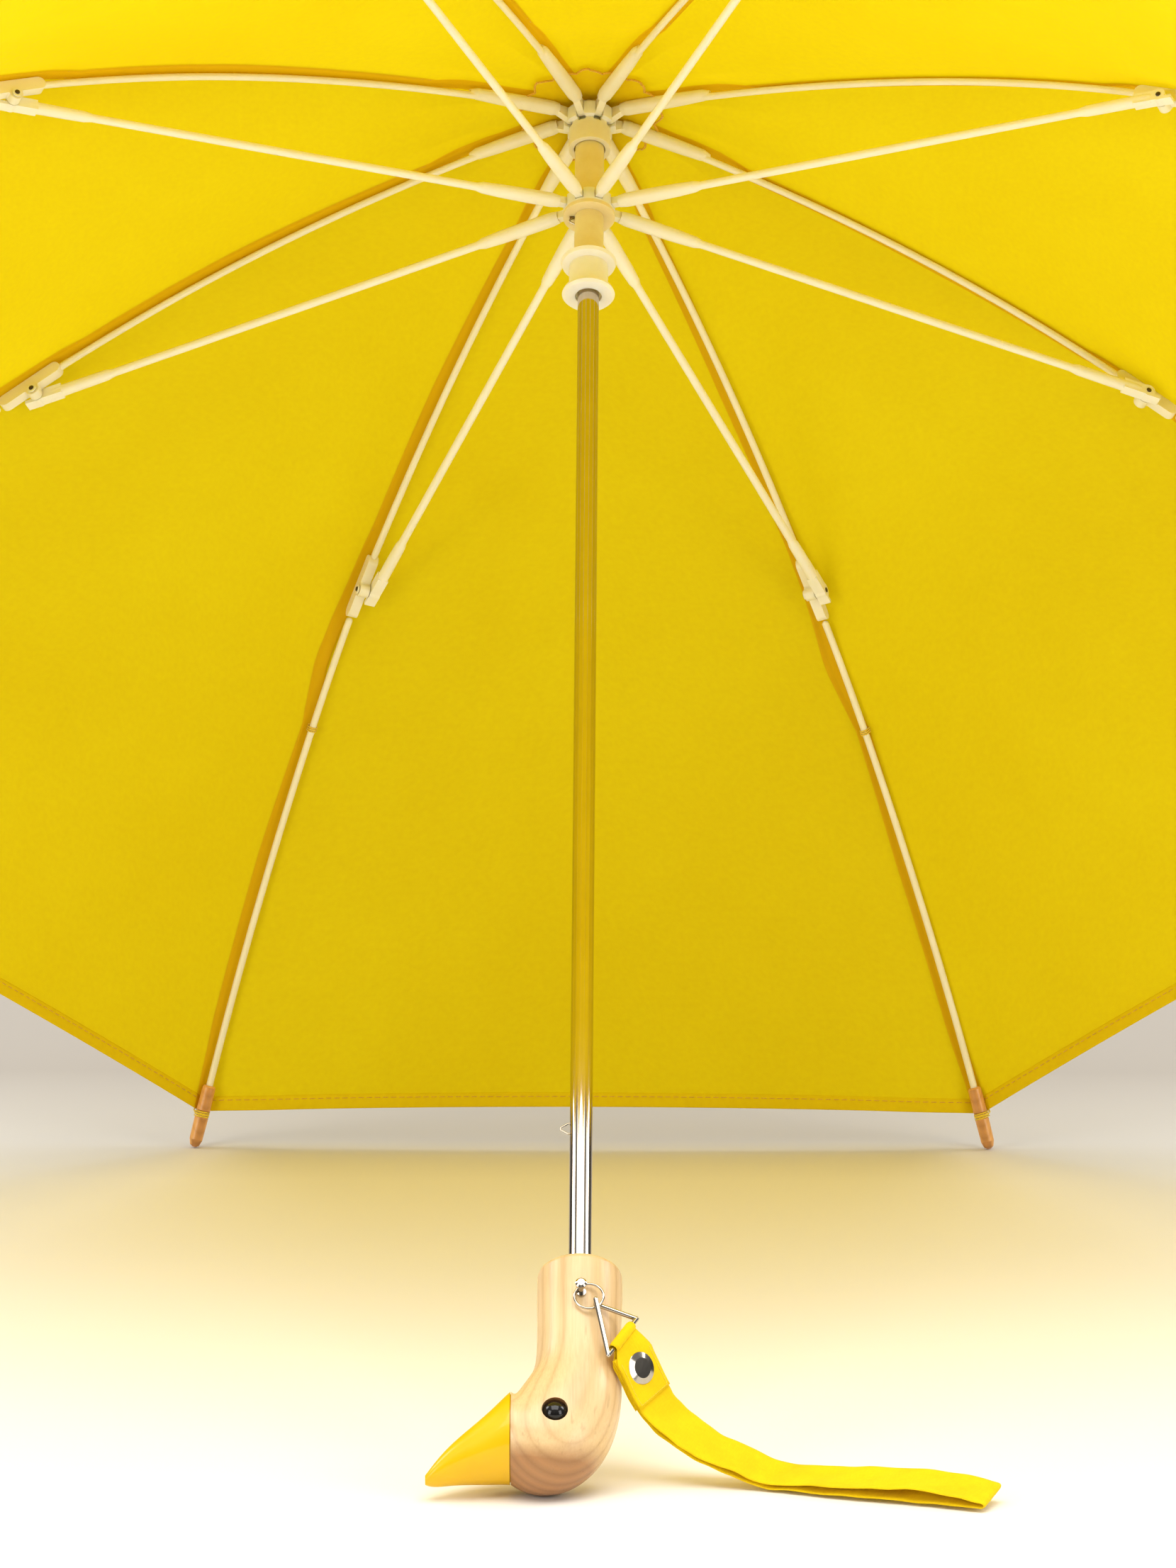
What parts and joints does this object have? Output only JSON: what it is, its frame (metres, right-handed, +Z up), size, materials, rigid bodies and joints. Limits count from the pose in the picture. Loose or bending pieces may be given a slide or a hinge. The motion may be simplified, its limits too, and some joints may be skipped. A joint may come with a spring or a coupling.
{
  "type": "children's stick umbrella",
  "caption": "Open stick umbrella for a child: yellow cloth canopy on folding ribs, sliding runner, steel shaft and a carved wooden duck-head handle with a wrist strap.",
  "frame": {"origin": "on the floor, at the centre of the bounding box's footprint; the umbrella lies open on the floor, on two rib tips and the duck's head", "axes": "+Z up from the floor, -Y towards the handle and +Y towards the crown, +X the side the strap lies on, away from the beak; the shaft rises at 43.1 degrees towards +Y"},
  "size_m": [0.7638, 0.5774, 0.5631],
  "materials": {
    "polished_steel": "polished tube",
    "handle_wood": "satin light maple",
    "beak_paint": "gloss yellow lacquer",
    "eye_black": "gloss black",
    "cream_plastic": "moulded, slightly translucent",
    "cream_rib": "glass-fibre rod and moulded fittings",
    "tip_wood": "stained wood",
    "canopy_cloth": "plain-weave cloth",
    "strap_cloth": "woven tape",
    "nickel_wire": "bright nickel"
  },
  "bodies": {
    "umbrella_stick": {"shaft_tube": "polished_steel", "duck_head": "handle_wood", "beak": "beak_paint", "eye_left": "eye_black", "eye_right": "eye_black", "strap_stud": "nickel_wire", "notch": "cream_plastic", "notch_wire": "nickel_wire", "ferrule": "tip_wood", "crown_cap": "canopy_cloth", "crown_rosette": "canopy_cloth"},
    "runner": {"runner": "cream_plastic", "runner_wire": "nickel_wire"},
    "release_collar": {"release_collar": "cream_plastic"},
    "lower_catch": {"lower_catch": "nickel_wire"},
    "upper_catch": {"upper_catch": "nickel_wire"},
    "split_ring": {"split_ring": "nickel_wire"},
    "wire_link": {"wire_link": "nickel_wire"},
    "strap": {"strap": "strap_cloth", "strap_snap": "nickel_wire"},
    "rib_1": {"rib_inner_1": "cream_rib", "canopy_gore_1": "canopy_cloth"},
    "rib_end_1": {"rib_outer_1": "cream_rib", "rib_tip_1": "tip_wood"},
    "stretcher_1": {"stretcher_1": "cream_rib"},
    "rib_2": {"rib_inner_2": "cream_rib", "canopy_gore_2": "canopy_cloth"},
    "rib_end_2": {"rib_outer_2": "cream_rib", "rib_tip_2": "tip_wood"},
    "stretcher_2": {"stretcher_2": "cream_rib"},
    "rib_3": {"rib_inner_3": "cream_rib", "canopy_gore_3": "canopy_cloth"},
    "rib_end_3": {"rib_outer_3": "cream_rib", "rib_tip_3": "tip_wood"},
    "stretcher_3": {"stretcher_3": "cream_rib"},
    "rib_4": {"rib_inner_4": "cream_rib", "canopy_gore_4": "canopy_cloth"},
    "rib_end_4": {"rib_outer_4": "cream_rib", "rib_tip_4": "tip_wood"},
    "stretcher_4": {"stretcher_4": "cream_rib"},
    "rib_5": {"rib_inner_5": "cream_rib", "canopy_gore_5": "canopy_cloth"},
    "rib_end_5": {"rib_outer_5": "cream_rib", "rib_tip_5": "tip_wood"},
    "stretcher_5": {"stretcher_5": "cream_rib"},
    "rib_6": {"rib_inner_6": "cream_rib", "canopy_gore_6": "canopy_cloth"},
    "rib_end_6": {"rib_outer_6": "cream_rib", "rib_tip_6": "tip_wood"},
    "stretcher_6": {"stretcher_6": "cream_rib"},
    "rib_7": {"rib_inner_7": "cream_rib", "canopy_gore_7": "canopy_cloth"},
    "rib_end_7": {"rib_outer_7": "cream_rib", "rib_tip_7": "tip_wood"},
    "stretcher_7": {"stretcher_7": "cream_rib"},
    "rib_8": {"rib_inner_8": "cream_rib", "canopy_gore_8": "canopy_cloth"},
    "rib_end_8": {"rib_outer_8": "cream_rib", "rib_tip_8": "tip_wood"},
    "stretcher_8": {"stretcher_8": "cream_rib"}
  },
  "joints": [
    {"name": "runner_slide", "type": "slide", "parent": "umbrella_stick", "child": "runner", "axis": [0, -0.7301, -0.6833], "range_m": [0, 0.40963], "deforming": ["crown_rosette"]},
    {"name": "collar_release", "type": "slide", "parent": "runner", "child": "release_collar", "axis": [0, -0.7301, -0.6833], "range_m": [0, 0.003], "stiffness_N_per_m": 250, "springref_m": -0.001},
    {"name": "lower_catch_press", "type": "slide", "parent": "umbrella_stick", "child": "lower_catch", "axis": [1, 0, 0], "range_m": [0, 0.003], "stiffness_N_per_m": 60, "springref_m": -0.001},
    {"name": "upper_catch_press", "type": "slide", "parent": "umbrella_stick", "child": "upper_catch", "axis": [1, 0, 0], "range_m": [0, 0.003], "stiffness_N_per_m": 60, "springref_m": -0.001},
    {"name": "rib_fold_1", "type": "hinge", "parent": "umbrella_stick", "child": "rib_1", "pos_m": [0.00739, 0.17162, 0.41976], "axis": [-0.3827, 0.6313, -0.6745], "range_deg": [0, 72.87], "deforming": ["canopy_gore_1"]},
    {"name": "rib_flex_1", "type": "hinge", "parent": "rib_1", "child": "rib_end_1", "pos_m": [0.22378, 0.1865, 0.30804], "axis": [0.3827, -0.6313, 0.6745], "range_deg": [0, 24.01]},
    {"name": "stretcher_fold_1", "type": "hinge", "parent": "runner", "child": "stretcher_1", "pos_m": [0.00767, 0.14132, 0.39125], "axis": [0.3827, -0.6313, 0.6745], "range_deg": [0, 93.9]},
    {"name": "rib_fold_2", "type": "hinge", "parent": "umbrella_stick", "child": "rib_2", "pos_m": [0.00306, 0.17458, 0.4166], "axis": [-0.9239, 0.2615, -0.2794], "range_deg": [0, 72.87], "deforming": ["canopy_gore_2"]},
    {"name": "rib_flex_2", "type": "hinge", "parent": "rib_2", "child": "rib_end_2", "pos_m": [0.0912, 0.27565, 0.21278], "axis": [0.9239, -0.2615, 0.2794], "range_deg": [0, 24.01]},
    {"name": "stretcher_fold_2", "type": "hinge", "parent": "runner", "child": "stretcher_2", "pos_m": [0.00318, 0.14439, 0.38797], "axis": [0.9239, -0.2615, 0.2794], "range_deg": [0, 93.9]},
    {"name": "rib_fold_3", "type": "hinge", "parent": "umbrella_stick", "child": "rib_3", "pos_m": [-0.00306, 0.17458, 0.4166], "axis": [-0.9239, -0.2615, 0.2794], "range_deg": [0, 72.87], "deforming": ["canopy_gore_3"]},
    {"name": "rib_flex_3", "type": "hinge", "parent": "rib_3", "child": "rib_end_3", "pos_m": [-0.0948, 0.27463, 0.21387], "axis": [0.9239, 0.2615, -0.2794], "range_deg": [0, 24.01]},
    {"name": "stretcher_fold_3", "type": "hinge", "parent": "runner", "child": "stretcher_3", "pos_m": [-0.00318, 0.14439, 0.38797], "axis": [0.9239, 0.2615, -0.2794], "range_deg": [0, 93.9]},
    {"name": "rib_fold_4", "type": "hinge", "parent": "umbrella_stick", "child": "rib_4", "pos_m": [-0.00739, 0.17162, 0.41976], "axis": [-0.3827, -0.6313, 0.6745], "range_deg": [0, 72.87], "deforming": ["canopy_gore_4"]},
    {"name": "rib_flex_4", "type": "hinge", "parent": "rib_4", "child": "rib_end_4", "pos_m": [-0.22527, 0.18404, 0.31067], "axis": [0.3827, 0.6313, -0.6745], "range_deg": [0, 24.01]},
    {"name": "stretcher_fold_4", "type": "hinge", "parent": "runner", "child": "stretcher_4", "pos_m": [-0.00767, 0.14132, 0.39125], "axis": [0.3827, 0.6313, -0.6745], "range_deg": [0, 93.9]},
    {"name": "rib_fold_5", "type": "hinge", "parent": "umbrella_stick", "child": "rib_5", "pos_m": [-0.00739, 0.16743, 0.42423], "axis": [0.3827, -0.6313, 0.6745], "range_deg": [0, 72.87], "deforming": ["canopy_gore_5"]},
    {"name": "rib_flex_5", "type": "hinge", "parent": "rib_5", "child": "rib_end_5", "pos_m": [-0.22378, 0.05695, 0.44648], "axis": [-0.3827, 0.6313, -0.6745], "range_deg": [0, 24.01]},
    {"name": "stretcher_fold_5", "type": "hinge", "parent": "runner", "child": "stretcher_5", "pos_m": [-0.00767, 0.13698, 0.39589], "axis": [-0.3827, 0.6313, -0.6745], "range_deg": [0, 93.9]},
    {"name": "rib_fold_6", "type": "hinge", "parent": "umbrella_stick", "child": "rib_6", "pos_m": [-0.00306, 0.16447, 0.42739], "axis": [0.9239, -0.2615, 0.2794], "range_deg": [0, 72.87], "deforming": ["canopy_gore_6"]},
    {"name": "rib_flex_6", "type": "hinge", "parent": "rib_6", "child": "rib_end_6", "pos_m": [-0.0912, -0.0322, 0.54174], "axis": [-0.9239, 0.2615, -0.2794], "range_deg": [0, 24.01]},
    {"name": "stretcher_fold_6", "type": "hinge", "parent": "runner", "child": "stretcher_6", "pos_m": [-0.00318, 0.13391, 0.39917], "axis": [-0.9239, 0.2615, -0.2794], "range_deg": [0, 93.9]},
    {"name": "rib_fold_7", "type": "hinge", "parent": "umbrella_stick", "child": "rib_7", "pos_m": [0.00306, 0.16447, 0.42739], "axis": [0.9239, 0.2615, -0.2794], "range_deg": [0, 72.87], "deforming": ["canopy_gore_7"]},
    {"name": "rib_flex_7", "type": "hinge", "parent": "rib_7", "child": "rib_end_7", "pos_m": [0.0948, -0.03118, 0.54065], "axis": [-0.9239, -0.2615, 0.2794], "range_deg": [0, 24.01]},
    {"name": "stretcher_fold_7", "type": "hinge", "parent": "runner", "child": "stretcher_7", "pos_m": [0.00318, 0.13391, 0.39917], "axis": [-0.9239, -0.2615, 0.2794], "range_deg": [0, 93.9]},
    {"name": "rib_fold_8", "type": "hinge", "parent": "umbrella_stick", "child": "rib_8", "pos_m": [0.00739, 0.16743, 0.42423], "axis": [0.3827, 0.6313, -0.6745], "range_deg": [0, 72.87], "deforming": ["canopy_gore_8"]},
    {"name": "rib_flex_8", "type": "hinge", "parent": "rib_8", "child": "rib_end_8", "pos_m": [0.22527, 0.05941, 0.44385], "axis": [-0.3827, -0.6313, 0.6745], "range_deg": [0, 24.01]},
    {"name": "stretcher_fold_8", "type": "hinge", "parent": "runner", "child": "stretcher_8", "pos_m": [0.00767, 0.13698, 0.39589], "axis": [-0.3827, -0.6313, 0.6745], "range_deg": [0, 93.9]},
    {"name": "ring_swing", "type": "hinge", "parent": "umbrella_stick", "child": "split_ring", "pos_m": [0.0007, -0.23522, 0.06552], "axis": [0, 0.6833, -0.7301], "range_deg": [-28, 0]},
    {"name": "link_swing", "type": "hinge", "parent": "split_ring", "child": "wire_link", "pos_m": [0.00697, -0.23962, 0.06141], "axis": [0.7071, 0.5163, 0.4832], "range_deg": [-35, 0]},
    {"name": "strap_swing", "type": "hinge", "parent": "wire_link", "child": "strap", "pos_m": [0.0151, -0.24724, 0.0518], "axis": [-0.4755, -0.7569, -0.4483], "range_deg": [0, 60]}
  ],
  "couplings": [
    {"joint": "rib_fold_1", "follows": "runner_slide", "rad_per_m": 3.1042},
    {"joint": "rib_flex_1", "follows": "runner_slide", "rad_per_m": 1.0226},
    {"joint": "stretcher_fold_1", "follows": "runner_slide", "rad_per_m": 4.0005},
    {"joint": "rib_fold_2", "follows": "runner_slide", "rad_per_m": 3.1042},
    {"joint": "rib_flex_2", "follows": "runner_slide", "rad_per_m": 1.0226},
    {"joint": "stretcher_fold_2", "follows": "runner_slide", "rad_per_m": 4.0005},
    {"joint": "rib_fold_3", "follows": "runner_slide", "rad_per_m": 3.1042},
    {"joint": "rib_flex_3", "follows": "runner_slide", "rad_per_m": 1.0226},
    {"joint": "stretcher_fold_3", "follows": "runner_slide", "rad_per_m": 4.0005},
    {"joint": "rib_fold_4", "follows": "runner_slide", "rad_per_m": 3.1042},
    {"joint": "rib_flex_4", "follows": "runner_slide", "rad_per_m": 1.0226},
    {"joint": "stretcher_fold_4", "follows": "runner_slide", "rad_per_m": 4.0005},
    {"joint": "rib_fold_5", "follows": "runner_slide", "rad_per_m": 3.1042},
    {"joint": "rib_flex_5", "follows": "runner_slide", "rad_per_m": 1.0226},
    {"joint": "stretcher_fold_5", "follows": "runner_slide", "rad_per_m": 4.0005},
    {"joint": "rib_fold_6", "follows": "runner_slide", "rad_per_m": 3.1042},
    {"joint": "rib_flex_6", "follows": "runner_slide", "rad_per_m": 1.0226},
    {"joint": "stretcher_fold_6", "follows": "runner_slide", "rad_per_m": 4.0005},
    {"joint": "rib_fold_7", "follows": "runner_slide", "rad_per_m": 3.1042},
    {"joint": "rib_flex_7", "follows": "runner_slide", "rad_per_m": 1.0226},
    {"joint": "stretcher_fold_7", "follows": "runner_slide", "rad_per_m": 4.0005},
    {"joint": "rib_fold_8", "follows": "runner_slide", "rad_per_m": 3.1042},
    {"joint": "rib_flex_8", "follows": "runner_slide", "rad_per_m": 1.0226},
    {"joint": "stretcher_fold_8", "follows": "runner_slide", "rad_per_m": 4.0005}
  ]
}
